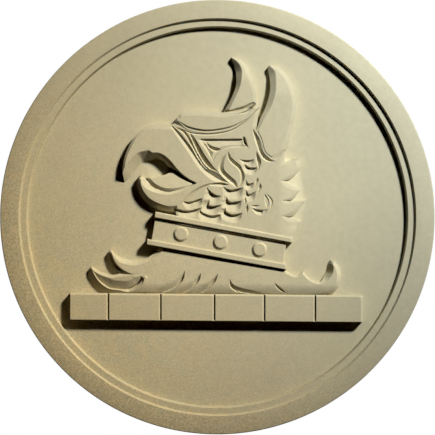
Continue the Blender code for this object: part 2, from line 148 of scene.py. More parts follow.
# The lower curl's rise to the right, the jaw, the tilted tongue and the mouth, sunk towards its back.
CURL_RISE_START = (108.0, 280.0)
CURL_RISE = 0.105
JAW_BOX = ((136.0, 176.0), (193.0, 197.0))
TONGUE_MIDDLE = (170.0, 181.0)
TONGUE_RISE = (0.1, -1.0)
TONGUE_SLOPE = 0.24
MOUTH_LIP = (148.0, 173.0)
MOUTH_BACK = (166.0, 160.0)
MOUTH_DEPTH = 4.5
MOUTH_DEEPEST_SHARE = 1.5
MOUTH_EDGE_RUN = 1.5

# A feather tip's lower edge: its steep side's width, and the shares of the cut at its two ends.
TIP_STEEP = 1.5
TIP_LEFT_SHARE = 0.45
TIP_RIGHT_SHARE = 0.1

# The mesh: its spacing along outlines, in the carving and on the plain field, how far filling points
# keep from lines and from the border, and how far the carving's fine mesh reaches past a plate.
LINE_STEP = 1.5
CARVED_STEP = 1.1
FIELD_STEP = 6.0
CARVED_CLEARANCE = 0.5
FIELD_CLEARANCE = 1.5
CARVED_BORDER = 2.0
FIELD_BORDER = 4.0
CARVED_MARGIN = 1.5
MERGE_DISTANCE = 1e-5
SHARP_ANGLE = math.radians(22.0)
# A cut's border is a line of the mesh where that side is narrower than this, in sheet units, and a cut
# keeps at least this share of its width where it runs out.
STEEP_LIMIT = 4.6
LEAST_SHARE = 0.02
# Points worked on at once.
PART_SIZE = 4000

# The stone. A pattern is a noise's scale, detail and roughness, the stretch of it that is used, and
# what that stretch becomes: a factor on the colour, or how much of the warmer colour shows, which is
# partly real stains and partly painted shade tone.
STONE_COLOR = (0.48, 0.445, 0.315, 1.0)
# The warmer colour of stains and wear. It is laid on more towards the lower left, away from the lamp, where
# it also paints shade tone into the stone.
WORN_AND_SHADED_COLOR = (0.51, 0.44, 0.29, 1.0)
STONE_ROUGHNESS = 0.92
STONE_SHEEN = 0.15
CLOUDS = (9.0, 3.0, 0.5, 0.3, 0.7, 0.97, 1.03)
MOTTLE = (120.0, 3.0, 0.5, 0.3, 0.7, 0.965, 1.035)
GRAIN = (900.0, 2.0, 0.7, 0.25, 0.75, 0.92, 1.08)
# This grain is laid on mostly towards the lower left, as part of the painted shade tone there.
UNEVEN_GRAIN = (480.0, 2.0, 0.6, 0.25, 0.75, 0.66, 1.34)
STAINS = (60.0, 4.0, 0.5, 0.35, 0.65, 0.3, 1.6)
PORES = (700.0, 4.0, 0.65)
PORE_STRENGTH, PORE_DEPTH = 0.35, 0.0004
# A share of painted shade tone, with some real wear. It falls to none towards the upper right, the
# lamp's side, over a stretch of across plus up, in metres, and rises from the field's share to full
# over a short stretch out from the middle, at the rim's edge.
WEAR_AND_SHADE_STRETCH = (-0.34, 0.14)
RIM_STRETCH = (0.272, 0.276)
FIELD_WEAR_AND_SHADE = 0.62
# The kind of a mix's inputs and result, by what it mixes.
MIX_SOCKETS = {"FLOAT": "VALUE", "RGBA": "RGBA"}

# The floor, in metres: its level and half its width.
FLOOR_LEVEL = -0.8
FLOOR_HALF = 1.1
FLOOR_COLOR = (0.7, 0.7, 0.68, 1.0)
FLOOR_ROUGHNESS = 0.9

# One soft lamp at the upper right gives two beams. Each has an aim on the face, across and up, a radius
# there, and the tone that it gives the field in its middle. Two more, each with a place and a power,
# light the back.
LIGHT_AZIMUTH = math.radians(48.0)
LIGHT_ELEVATION = math.radians(35.0)
LIGHT_SOFTNESS = math.radians(4.2)
LIGHT_DISTANCE = 4.0
BEAMS = (
    ("cool_beam", (0.518, 0.500), 0.705, (0.070, 0.192, 0.262)),
    ("warm_beam", (0.078, 0.138), 0.600, (0.530, 0.406, 0.184)),
)
BACK_LIGHTS = (
    ("back_light_left", (-1.6, 1.9, 0.5), 70.0),
    ("back_light_right", (1.3, 2.2, 1.3), 110.0),
)
BACK_RADIUS = 0.42
BACK_SOFTNESS = 0.2
AMBIENT = 0.0018
BLACK_LEVEL = (0.0065, 0.0062, 0.003)

# The camera, straight in front, shows VIEW_WIDTH at the distance CAMERA_DISTANCE.
CAMERA_DISTANCE = 3.0
VIEW_WIDTH = 0.6006
CAMERA_SPOT = (0.00023, -3.05, -0.00054)

CORNER = True

# Each row is the top edge's point and the bevel foot's point under it: x, y, x, y.
# Rows marked CORNER are sharp, and the outline runs smoothly through the others.
FRONT_EAR = (
    (233.0, 58.2, 231.8, 57.2, CORNER),
    (239.5, 61.8, 241.0, 60.3),
    (244.3, 69.5, 247.0, 66.5),
    (249.0, 81.0, 252.8, 80.0),
    (252.5, 93.0, 256.0, 92.5),
    (253.5, 102.3, 255.8, 104.0, CORNER),
    (243.0, 107.0, 243.0, 110.0),
    (229.3, 110.0, 223.0, 112.5, CORNER),
    (234.5, 99.5, 229.5, 102.0),
    (240.0, 87.0, 235.7, 87.0),
    (242.0, 75.0, 236.3, 76.0),
    (241.6, 69.0, 235.3, 68.5),
    (239.2, 63.8, 233.8, 63.0),
    (236.0, 60.3, 232.4, 60.0),
)
BACK_EAR = (
    (270.8, 66.6, 269.6, 65.3, CORNER),
    (275.0, 69.0, 277.0, 67.0),
    (281.5, 75.0, 284.5, 72.5),
    (288.0, 86.5, 292.0, 85.0),
    (291.8, 101.0, 296.0, 101.0),
    (291.3, 114.0, 295.5, 115.5),
    (288.0, 128.5, 292.0, 131.0),
    (284.5, 139.5, 287.8, 147.0, CORNER),
    (279.0, 150.5, 281.0, 153.5),
    (270.5, 156.5, 269.5, 159.8),
    (264.5, 151.5, 262.0, 153.5),
    (261.8, 142.0, 258.8, 143.0),
    (258.5, 130.5, 255.5, 132.5, CORNER),
    (264.0, 119.5, 260.0, 119.5),
    (271.5, 106.0, 266.5, 105.0),
    (275.7, 92.0, 270.2, 90.0),
    (276.2, 80.0, 270.0, 79.0),
    (275.6, 73.5, 268.9, 73.0),
    (273.8, 69.6, 268.2, 69.0),
)

BROW = (
    (178.5, 121.0, 171.5, 127.0, CORNER),
    (185.0, 116.5, 183.0, 112.5),
    (205.0, 116.0, 205.0, 111.0),
    (225.0, 117.5, 224.0, 112.5),
    (242.0, 113.5, 241.0, 109.5),
    (255.0, 109.0, 259.0, 107.5, CORNER),
    (245.4, 118.9, 246.2, 120.0),
    (230.0, 127.3, 230.0, 130.3),
    (208.0, 130.6, 208.0, 133.9),
    (190.0, 127.8, 190.0, 132.2),
)

HEAD = (
    (172.0, 130.0, 170.5, 124.5, CORNER),
    (195.0, 122.0, 195.0, 120.0),
    (225.0, 124.0, 225.0, 121.0),
    (254.5, 113.5, 259.0, 110.0, CORNER),
    (252.0, 127.0, 256.0, 130.0, CORNER),
    (264.0, 127.0, 264.0, 125.0, CORNER),
    (279.0, 135.0, 281.0, 134.0, CORNER),
    (283.0, 147.0, 286.5, 148.5, CORNER),
    (281.5, 156.0, 284.5, 154.5),
    (280.0, 165.5, 284.5, 162.5, CORNER),
    (289.0, 163.8, 290.0, 160.3),
    (295.0, 160.0, 298.5, 157.0, CORNER),
    (296.0, 167.0, 300.5, 167.5),
    (288.5, 175.8, 291.5, 178.0),
    (279.5, 181.0, 283.5, 181.0, CORNER),
    (287.0, 188.0, 291.0, 184.8),
    (296.0, 190.8, 300.5, 189.3, CORNER),
    (290.0, 197.3, 293.0, 198.8),
    (280.0, 200.6, 284.0, 200.4, CORNER),
    (288.0, 204.5, 292.0, 201.6),
    (301.5, 201.3, 306.5, 199.7, CORNER),
    (291.0, 211.5, 294.0, 214.5),
    (280.5, 216.3, 284.0, 216.6, CORNER),
    (287.0, 221.5, 290.0, 218.3),
    (297.0, 222.5, 301.5, 220.5, CORNER),
    (290.0, 232.0, 293.0, 233.0),
    (283.0, 241.5, 286.0, 243.0, CORNER),
    (181.0, 224.0, 178.0, 224.0, CORNER),
    (178.5, 214.0, 176.2, 214.0, CORNER),
    (177.0, 205.3, 175.5, 211.5, CORNER),
    (168.0, 205.8, 167.0, 211.0),
    (158.0, 202.8, 154.5, 207.3),
    (150.0, 198.3, 145.3, 201.0),
    (144.0, 191.5, 139.3, 193.0),
    (141.2, 185.0, 137.4, 184.0),
    (140.8, 179.5, 140.3, 175.3, CORNER),
    (142.0, 184.0, 147.3, 181.0),
    (147.0, 189.0, 151.8, 186.6),
    (157.0, 193.2, 158.5, 189.8),
    (169.0, 194.6, 169.0, 191.8),
    (182.0, 191.2, 181.0, 188.6),
    (198.0, 182.9, 197.0, 183.5, CORNER),
    (190.8, 179.7, 190.0, 180.7),
    (183.0, 174.3, 182.2, 175.4),
    (176.5, 167.8, 174.8, 169.6),
    (171.5, 161.6, 168.3, 166.2),
    (165.0, 155.6, 162.8, 160.8),
    (158.5, 152.6, 157.3, 158.3),
    (151.5, 152.6, 152.5, 159.0),
    (146.5, 153.5, 149.0, 160.3),
    (144.3, 157.5, 145.8, 160.9),
    (142.6, 160.6, 143.0, 161.5, CORNER),
    (138.6, 164.8, 139.4, 165.3),
    (134.2, 169.9, 135.0, 170.5),
    (129.4, 176.4, 130.2, 177.1),
    (124.5, 180.9, 124.2, 181.8, CORNER),
    (124.8, 170.0, 122.6, 170.5),
    (126.2, 159.8, 124.0, 159.3),
    (130.2, 149.5, 128.0, 148.3),
    (136.6, 138.8, 134.8, 136.8),
    (147.3, 130.5, 146.0, 127.0),
    (160.0, 129.3, 159.5, 123.5),
)

MANE = (
    (262.0, 172.0, 262.0, 154.0, CORNER),
    (272.0, 172.0, 282.0, 155.0, CORNER),
    (276.5, 175.0, 295.0, 160.0),
    (278.0, 179.0, 302.0, 173.0),
    (278.0, 186.0, 304.5, 186.5),
    (278.0, 200.0, 307.0, 200.0),
    (279.0, 212.0, 305.5, 213.5),
    (279.0, 224.0, 299.0, 228.0),
    (276.0, 234.0, 288.5, 240.0, CORNER),
    (262.0, 232.0, 262.0, 234.0, CORNER),
)

NECK = (
    (165.0, 246.0, 161.0, 245.0, CORNER),
    (282.0, 268.0, 283.5, 267.5, CORNER),
    (286.0, 273.5, 287.3, 272.0),
    (292.5, 276.8, 293.0, 274.8),
    (298.0, 277.3, 298.5, 275.4),
    (303.0, 274.5, 303.3, 271.6, CORNER),
    (307.0, 279.0, 308.0, 276.7),
    (313.5, 283.0, 313.8, 280.8),
    (320.5, 284.0, 320.3, 282.0),
    (328.5, 279.8, 323.4, 277.4),
    (333.2, 273.0, 326.4, 269.0),
    (333.0, 265.0, 330.8, 260.0, CORNER),
    (335.5, 269.0, 338.5, 266.0),
    (337.0, 277.0, 341.0, 276.5),
    (334.5, 285.5, 338.0, 287.5),
    (329.0, 292.5, 331.0, 295.6, CORNER),
    (310.0, 293.8, 310.0, 295.4),
    (287.0, 293.6, 286.0, 295.2),
    (262.0, 293.4, 262.0, 295.0),
    (232.0, 293.1, 233.0, 294.7),
    (222.0, 293.0, 222.0, 294.6),
    (200.0, 292.8, 200.0, 294.4),
    (170.0, 292.6, 170.0, 294.2),
    (131.0, 291.8, 126.0, 293.0, CORNER),
    (136.5, 289.3, 134.5, 287.6),
    (142.0, 284.3, 140.0, 282.8),
    (145.0, 278.3, 143.0, 276.6, CORNER),
    (129.0, 272.6, 127.0, 274.6),
    (121.5, 268.3, 112.5, 274.0),
    (116.5, 263.3, 104.5, 269.5),
    (113.3, 257.5, 105.5, 258.5),
    (111.8, 253.0, 110.4, 249.8, CORNER),
    (114.8, 257.5, 116.0, 255.0),
    (121.0, 262.8, 122.5, 258.5),
    (134.0, 265.5, 134.0, 260.5),
    (148.0, 262.0, 146.0, 258.6),
    (159.0, 255.0, 155.0, 252.0),
)

LOWER_CURL = (
    (92.3, 269.3, 90.8, 267.0, CORNER),
    (97.0, 273.2, 98.3, 271.3),
    (104.0, 276.4, 104.8, 273.8),
    (113.0, 277.8, 113.0, 275.0),
    (121.5, 276.6, 121.5, 273.0),
    (131.0, 275.5, 131.0, 271.0, CORNER),
    (146.0, 277.5, 149.0, 275.0, CORNER),
    (141.5, 284.5, 143.0, 287.0),
    (133.0, 288.9, 134.0, 293.0),
    (120.0, 290.0, 120.0, 294.0),
    (109.0, 288.7, 104.0, 294.0),
    (101.5, 283.8, 92.5, 291.5),
    (96.3, 278.0, 87.8, 283.5),
    (93.0, 272.3, 87.5, 274.0),
)

TONGUE = (
    (150.3, 178.8, 147.0, 177.6, CORNER),
    (162.0, 177.0, 162.0, 175.5),
    (173.0, 173.5, 173.0, 171.0, CORNER),
    (183.0, 179.8, 184.0, 178.5),
    (191.5, 184.3, 194.0, 184.0, CORNER),
    (180.0, 187.3, 181.5, 188.3),
    (170.0, 188.3, 170.0, 191.0),
    (162.0, 187.0, 159.0, 189.6),
    (155.5, 183.7, 151.5, 186.2),
)
MOUTH = (
    (146.0, 157.0),
    (158.0, 153.5),
    (166.0, 158.0),
    (176.0, 169.0),
    (197.5, 183.7),
    (183.0, 189.0),
    (165.0, 190.5),
    (152.0, 184.5),
    (142.0, 175.0),
)

# Cuts: the widths to the left and the right of the line, the depth, then the line's points with
# the share of the full cut there. Seen from the front, a line drawn to the right has its left on top.
HEAD_CUTS = (
    # The lines between the beak and the eye.
    (2.0, 3.6, 3.2, ((172.5, 127.0, 0.5), (180.0, 135.5, 0.9), (190.3, 149.2, 1.0), (200.0, 164.0, 1.0),
        (209.5, 174.0, 1.0), (218.0, 179.3, 0.9), (228.0, 182.8, 0.1))),
    (5.4, 2.0, 4.2, ((202.0, 166.5, 0.1), (208.5, 172.6, 0.7), (215.0, 177.4, 1.0), (221.0, 180.6, 0.8),
        (228.0, 182.8, 0.1))),
    (2.0, 1.3, 2.9, ((176.5, 128.0, 0.3), (183.0, 131.8, 1.0), (187.2, 137.0, 1.0), (194.2, 149.5, 1.0),
        (199.0, 158.2, 1.0), (204.0, 165.5, 0.9), (210.0, 171.5, 0.2))),
    (3.8, 1.4, 4.4, ((189.5, 132.5, 0.1), (192.3, 139.0, 0.7), (197.0, 149.0, 1.0), (201.5, 157.5, 1.1),
        (206.0, 163.8, 1.1), (211.5, 168.8, 0.8), (218.0, 171.8, 0.1))),
    # The light line at the brow's foot.
    (0.6, 1.7, 1.8, ((176.0, 126.9, 0.2), (190.0, 132.3, 0.9), (200.0, 133.8, 1.0), (210.0, 134.0, 1.0),
        (220.0, 133.0, 1.0), (230.0, 130.4, 1.0), (237.5, 127.0, 1.0), (246.5, 120.0, 1.0),
        (256.0, 110.6, 0.6))),
    # The eye, with its upper lid, its corner, the pupil and the lower lids.
    (1.2, 8.0, 3.6, ((199.0, 139.3, 0.2), (205.0, 139.8, 1.0), (220.0, 139.9, 1.0), (238.0, 139.7, 1.0),
        (244.0, 139.4, 0.4))),
    (2.0, 1.7, 8.0, ((243.9, 138.3, 0.8), (244.4, 141.0, 1.0), (245.8, 144.6, 0.9), (248.2, 147.6, 0.1))),
    (3.0, 2.2, 4.8, ((205.8, 140.8, 0.4), (208.3, 145.6, 0.9), (212.7, 149.2, 1.0), (217.5, 150.2, 0.9),
        (221.8, 148.5, 0.1))),
    (4.5, 1.3, 1.8, ((213.0, 162.0, 0.1), (214.5, 156.5, 0.8), (219.0, 151.7, 1.0), (226.0, 147.9, 1.0),
        (234.0, 146.2, 0.9), (248.5, 147.2, 0.2))),
    (4.5, 1.7, 2.8, ((201.0, 139.5, 0.3), (204.5, 145.0, 1.0), (208.7, 152.0, 1.0), (213.0, 161.0, 0.2))),
    # The flame-shaped tuft under the eye.
    (3.0, 1.6, 3.8, ((228.3, 151.5, 0.1), (228.7, 157.5, 0.8), (232.0, 162.3, 1.0), (237.5, 166.8, 1.0),
        (240.8, 171.5, 1.0), (241.7, 177.0, 1.0), (241.0, 182.0, 0.8), (238.5, 187.5, 0.1))),
    (3.8, 2.3, 3.6, ((226.0, 154.5, 0.1), (222.6, 159.0, 0.6), (220.4, 164.5, 0.9), (220.3, 169.5, 1.0),
        (223.0, 174.3, 1.0), (229.0, 179.8, 1.0), (233.5, 183.6, 0.9), (237.3, 188.0, 0.1))),
    # The line behind the jaw, and the small lens over the cheek.
    (2.2, 1.4, 2.6, ((180.0, 204.5, 0.2), (190.0, 195.5, 1.0), (200.0, 188.8, 1.0), (210.0, 184.5, 0.6))),
    (1.4, 3.2, 4.4, ((207.5, 184.5, 0.1), (213.0, 184.0, 0.7), (219.0, 183.7, 1.0), (224.0, 184.0, 0.9),
        (228.5, 184.8, 0.1))),
    # The groove in front of the back ear, and the line at its lower end.
    (3.4, 2.0, 4.2, ((253.0, 130.5, 0.3), (255.7, 138.0, 0.9), (258.2, 145.0, 1.0), (260.4, 151.5, 1.0),
        (264.0, 157.5, 1.0), (269.0, 161.0, 0.7), (275.5, 161.5, 0.1))),
    (1.5, 1.5, 1.8, ((273.0, 161.0, 0.1), (277.5, 157.5, 0.9), (283.0, 151.5, 0.9), (288.0, 146.5, 0.1))),
    (3.2, 1.6, 4.2, ((256.4, 152.0, 0.2), (256.8, 157.5, 0.9), (258.0, 163.0, 1.0), (258.5, 170.5, 0.1))),
    # Small wedges at the sides of the feathers, and the curl over the collar.
    (2.6, 1.6, 3.2, ((257.8, 177.5, 0.1), (256.5, 181.0, 0.8), (255.0, 185.5, 0.3))),
    (2.6, 1.6, 3.2, ((259.8, 183.0, 0.1), (259.4, 187.5, 0.9), (257.0, 193.5, 0.2))),
    (3.0, 1.6, 3.4, ((264.5, 194.5, 0.2), (265.9, 199.5, 0.9), (266.6, 204.0, 0.9), (266.6, 208.0, 0.1))),
    (1.8, 1.3, 2.4, ((266.0, 193.5, 0.1), (269.8, 198.5, 0.9), (271.3, 203.0, 1.0), (270.5, 208.5, 0.1))),
    (1.8, 1.4, 4.4, ((245.2, 196.5, 0.3), (245.2, 200.0, 1.0), (245.6, 203.8, 0.3))),
    (1.8, 1.4, 4.4, ((247.4, 205.0, 0.3), (246.8, 208.5, 1.0), (246.6, 213.0, 0.3))),
    # The shallow valleys between the columns of feathers.
    (1.4, 1.8, 1.5, ((225.0, 187.5, 0.2), (224.6, 197.0, 1.0), (223.8, 209.0, 0.6))),
)

# Feather tips: the depth of the drop, the width of the rise below it, then the points along each
# tip's lower edge from left to right.
FEATHER_TIPS = (
    (5.2, 8.5, ((209.0, 190.3), (211.0, 193.3), (215.0, 195.8), (221.0, 196.0))),
    (6.2, 8.5, ((209.0, 200.5), (208.2, 206.0), (213.0, 207.2), (223.0, 204.3))),
    (5.2, 7.0, ((199.8, 211.2), (204.5, 214.6), (211.0, 216.7), (217.0, 216.1), (221.5, 213.8))),
    (5.0, 8.5, ((226.0, 188.8), (228.3, 190.4), (232.0, 191.0), (237.0, 190.0), (243.0, 187.4))),
    (5.8, 8.5, ((227.0, 198.6), (228.0, 202.2), (231.5, 203.3), (236.0, 202.8), (241.5, 200.8))),
    (5.4, 7.0, ((225.3, 209.3), (225.0, 211.8), (227.8, 214.1), (231.5, 215.6), (236.5, 215.3),
        (242.0, 212.8))),
    (3.4, 5.0, ((241.5, 160.2), (245.0, 161.3), (250.0, 161.4), (253.8, 159.2))),
    (4.2, 6.0, ((244.3, 163.8), (246.3, 166.8), (249.5, 168.6), (253.0, 168.8), (257.5, 167.5))),
    (4.2, 5.0, ((246.6, 182.2), (247.6, 184.4), (249.5, 185.0), (254.0, 182.6))),
    (4.4, 6.0, ((246.8, 192.2), (247.8, 194.8), (250.4, 195.4), (255.5, 191.2))),
    (2.2, 1.8, ((252.0, 206.0), (255.5, 206.4), (260.0, 205.4))),
    (4.2, 4.0, ((253.6, 208.9), (257.5, 210.7), (262.5, 211.1), (267.5, 209.6))),
    (4.2, 6.5, ((184.6, 202.1), (188.5, 203.1), (193.0, 202.5), (198.0, 200.7), (202.0, 198.2))),
    (5.0, 5.5, ((175.6, 208.6), (179.0, 210.4), (184.0, 211.6), (190.0, 211.8), (196.2, 210.3),
        (202.8, 207.2))),
)

NECK_CUTS = (
    (1.3, 3.0, 5.6, ((184.6, 271.5, 0.2), (183.0, 277.3, 0.9), (180.3, 281.8, 1.0), (176.5, 285.0, 0.6),
        (171.5, 288.0, 0.1))),
    (1.5, 6.5, 2.6, ((182.5, 278.0, 0.2), (177.5, 284.5, 0.8), (170.0, 288.8, 1.0), (160.0, 293.5, 0.8))),
    (1.3, 2.8, 5.2, ((200.6, 273.5, 0.2), (199.0, 278.5, 0.9), (196.0, 283.0, 1.0), (192.5, 286.0, 0.5),
        (188.0, 289.0, 0.1))),
    (1.5, 6.0, 2.6, ((198.0, 280.0, 0.2), (193.5, 285.5, 0.8), (188.0, 289.5, 1.0), (181.0, 293.5, 0.8))),
    (1.3, 2.8, 5.2, ((217.6, 274.5, 0.2), (215.0, 280.0, 0.9), (211.8, 284.0, 1.0), (208.0, 287.0, 0.5),
        (204.0, 290.0, 0.1))),
    (1.5, 6.0, 2.6, ((213.0, 282.5, 0.2), (208.5, 287.0, 0.8), (203.5, 290.5, 1.0), (198.0, 294.0, 0.8))),
    (2.4, 1.8, 4.6, ((229.8, 280.3, 0.3), (230.6, 284.3, 0.9), (233.0, 288.0, 1.0), (237.0, 291.5, 0.6))),
    (4.0, 0.8, 2.8, ((231.5, 284.0, 0.2), (236.0, 289.6, 0.9), (243.0, 292.4, 1.0), (253.0, 293.6, 0.8),
        (265.0, 294.2, 0.1))),
    (1.8, 1.5, 3.4, ((274.0, 282.5, 0.1), (277.0, 286.5, 0.9), (281.0, 290.0, 1.0), (285.5, 292.8, 0.3))),
    # The hollow side of the right-hand tuft's tip.
    (6.8, 0.6, 4.8, ((331.0, 259.5, 0.3), (328.6, 264.0, 0.9), (326.4, 269.0, 1.0), (323.4, 277.4, 0.8),
        (321.5, 280.5, 0.2))),
    # The strip on the upper tuft's dark side.
    (1.2, 1.0, 2.0, ((110.8, 255.0, 0.2), (113.4, 262.5, 0.9), (118.0, 268.3, 1.0), (123.5, 272.5, 0.2))),
)

CURL_CUTS = (
    (8.5, 1.2, 6.2, ((93.5, 271.5, 0.1), (97.0, 277.8, 0.6), (102.3, 283.2, 0.9), (109.3, 287.6, 1.0),
        (118.0, 289.0, 1.0), (127.0, 289.4, 1.0), (134.4, 287.4, 1.0), (140.0, 282.6, 0.9),
        (143.4, 276.4, 0.5))),
    (3.0, 3.8, 8.8, ((122.0, 290.2, 0.2), (128.0, 289.0, 0.8), (134.0, 286.8, 1.0), (139.4, 282.0, 1.0),
        (142.8, 276.4, 0.5))),
)

EAR_CUTS = (
    (2.5, 1.2, 3.2, ((227.5, 112.0, 0.3), (236.0, 110.8, 1.0), (244.0, 108.3, 1.0), (249.0, 105.4, 0.8),
        (253.6, 102.8, 0.35))),
)

BACK_EAR_CUTS = (
    (1.2, 1.1, 3.0, ((257.4, 131.0, 0.4), (260.3, 137.5, 0.9), (261.9, 143.0, 1.0), (263.4, 149.0, 1.0),
        (265.8, 153.4, 1.0), (269.5, 156.4, 0.9), (275.0, 158.0, 0.1))),
)

BROW_CUTS = (
    (1.6, 1.6, 2.0, ((179.0, 121.7, 0.3), (190.0, 128.4, 1.0), (208.0, 131.2, 1.0), (230.0, 127.8, 1.0),
        (246.0, 119.6, 0.3))),
    (1.0, 1.6, 2.4, ((236.0, 114.6, 0.1), (244.0, 112.6, 1.0), (250.0, 109.8, 1.0), (256.0, 106.0, 0.2))),
)


def on_sheet(points):
    """Sheet points as millimetres across and up from the disc's centre, with the bar made level."""
    offset = (np.asarray(points, float) - SHEET_CENTRE) * (UNIT, -UNIT)
    turn_cos, turn_sin = math.cos(SHEET_TURN), math.sin(SHEET_TURN)
    return offset @ np.array(((turn_cos, turn_sin), (-turn_sin, turn_cos)))


def smooth_stretch(rows):
    """Rows along a smooth curve through the given rows, without the last one."""
    rows = np.asarray(rows, float)
    padded = np.vstack((2 * rows[0] - rows[1], rows, 2 * rows[-1] - rows[-2]))
    pieces = []
    for index in range(len(rows) - 1):
        before, start, end, after = padded[index : index + 4]
        steps = max(1, round(np.linalg.norm(end[:2] - start[:2]) * UNIT / LINE_STEP))
        share = (np.arange(steps) / steps)[:, None]
        bend = (2 * before - 5 * start + 4 * end - after) * share**2
        bend = bend + (3 * start - before - 3 * end + after) * share**3
        pieces.append(0.5 * (2 * start + (end - before) * share + bend))
    return np.vstack(pieces)


def smooth_line(rows):
    """A smooth curve through the given rows."""
    return np.vstack((smooth_stretch(rows), rows[-1]))


def smooth_loop(rows):
    """A closed outline through the rows, sharp at the rows marked CORNER."""
    width = len(rows[0]) - len(rows[0]) % 2
    corners = [index for index, row in enumerate(rows) if len(row) % 2]
    bare = [row[:width] for row in rows]
    if not corners:
        wrapped = bare[-1:] + bare + bare[:2]
        return trimmed(smooth_stretch(wrapped), wrapped)
    pieces = []
    for number, first in enumerate(corners):
        last = corners[(number + 1) % len(corners)]
        count = (last - first) % len(rows) or len(rows)
        pieces.append(smooth_stretch([bare[(first + step) % len(rows)] for step in range(count + 1)]))
    return np.vstack(pieces)


def trimmed(full, wrapped):
    """The part of a wrapped curve that runs once round: from its second row to its last but one."""
    first = np.argmin(np.linalg.norm(full - wrapped[1], axis=1))
    last = len(full) - 1 - np.argmin(np.linalg.norm(full[::-1] - wrapped[-2], axis=1))
    return full[first:last]


def inside(points, loop):
    """Which points lie inside a closed loop."""
    x, y = points[:, :1], points[:, 1:]
    ends = np.roll(loop, -1, axis=0)
    x1, y1, x2, y2 = loop[:, 0], loop[:, 1], ends[:, 0], ends[:, 1]
    crosses = (y1 > y) != (y2 > y)
    with np.errstate(divide="ignore", invalid="ignore"):
        reach = (x2 - x1) * (y - y1) / (y2 - y1) + x1
    return (crosses & (x < reach)).sum(axis=1) % 2 == 1


def nearest(points, line, closed):
    """Each point's distance to a line, its place along it in steps, and whether it lies to the left."""
    starts = line if closed else line[:-1]
    ends = np.roll(line, -1, axis=0) if closed else line[1:]
    way = ends - starts
    length = np.maximum((way**2).sum(axis=1), 1e-12)
    offset = points[:, None, :] - starts[None, :, :]
    share = np.clip((offset * way).sum(axis=2) / length, 0.0, 1.0)
    gap = offset - share[:, :, None] * way
    squared = (gap**2).sum(axis=2)
    index = squared.argmin(axis=1)
    rows = np.arange(len(points))
    along = way[index]
    from_start = offset[rows, index]
    left = along[:, 0] * from_start[:, 1] - along[:, 1] * from_start[:, 0] > 0.0
    return np.sqrt(squared[rows, index]), index + share[rows, index], left


def in_parts(function, points, *others):
    """Runs a function that returns one array over the points in parts, to bound the memory."""
    if len(points) == 0:
        return function(points, *others)
    starts = range(0, len(points), PART_SIZE)
    return np.concatenate([function(points[start : start + PART_SIZE], *others) for start in starts])


def close_to(points, line, margin):
    """Which points lie within a margin of a line's box."""
    low, high = line.min(axis=0) - margin, line.max(axis=0) + margin
    return ((points >= low) & (points <= high)).all(axis=1)


def unit_ways(ways):
    """Each way made one long."""
    return ways / np.maximum(np.linalg.norm(ways, axis=1), 1e-9)[:, None]


class Cut:
    """A V-shaped cut along a line, with its own width on either side."""

    def __init__(self, left, right, depth, rows):
        line = smooth_line(rows)
        self.line = on_sheet(line[:, :2])
        share = np.maximum(line[:, 2], LEAST_SHARE)
        self.left = left * UNIT * share
        self.right = right * UNIT * share
        self.depth = depth * np.maximum(line[:, 2], 0.0)

    def at(self, points):
        """How deep the cut is at each point."""
        depth = np.zeros(len(points))
        near = close_to(points, self.line, max(self.left.max(), self.right.max()))
        if near.any():
            depth[near] = in_parts(self.section, points[near])
        return depth

    def section(self, points):
        distance, place, left = nearest(points, self.line, closed=False)
        steps = np.arange(len(self.line))
        widths = (np.interp(place, steps, self.left), np.interp(place, steps, self.right))
        share = np.clip(1.0 - distance / np.where(left, *widths), 0.0, 1.0)
        return share * np.interp(place, steps, self.depth)

    def borders(self):
        """The cut's lines for the mesh: its bottom, and each border that isn't a gentle one."""
        way = unit_ways(np.gradient(self.line, axis=0))
        across = np.column_stack((-way[:, 1], way[:, 0]))
        lines = [self.line]
        for width, sign in ((self.left, 1.0), (self.right, -1.0)):
            if width.max() < STEEP_LIMIT * UNIT:
                lines.append(self.line + sign * width[:, None] * across)
        return lines


def value_at(value, points):
    """A value that may be a function of the points."""
    return value(points) if callable(value) else value


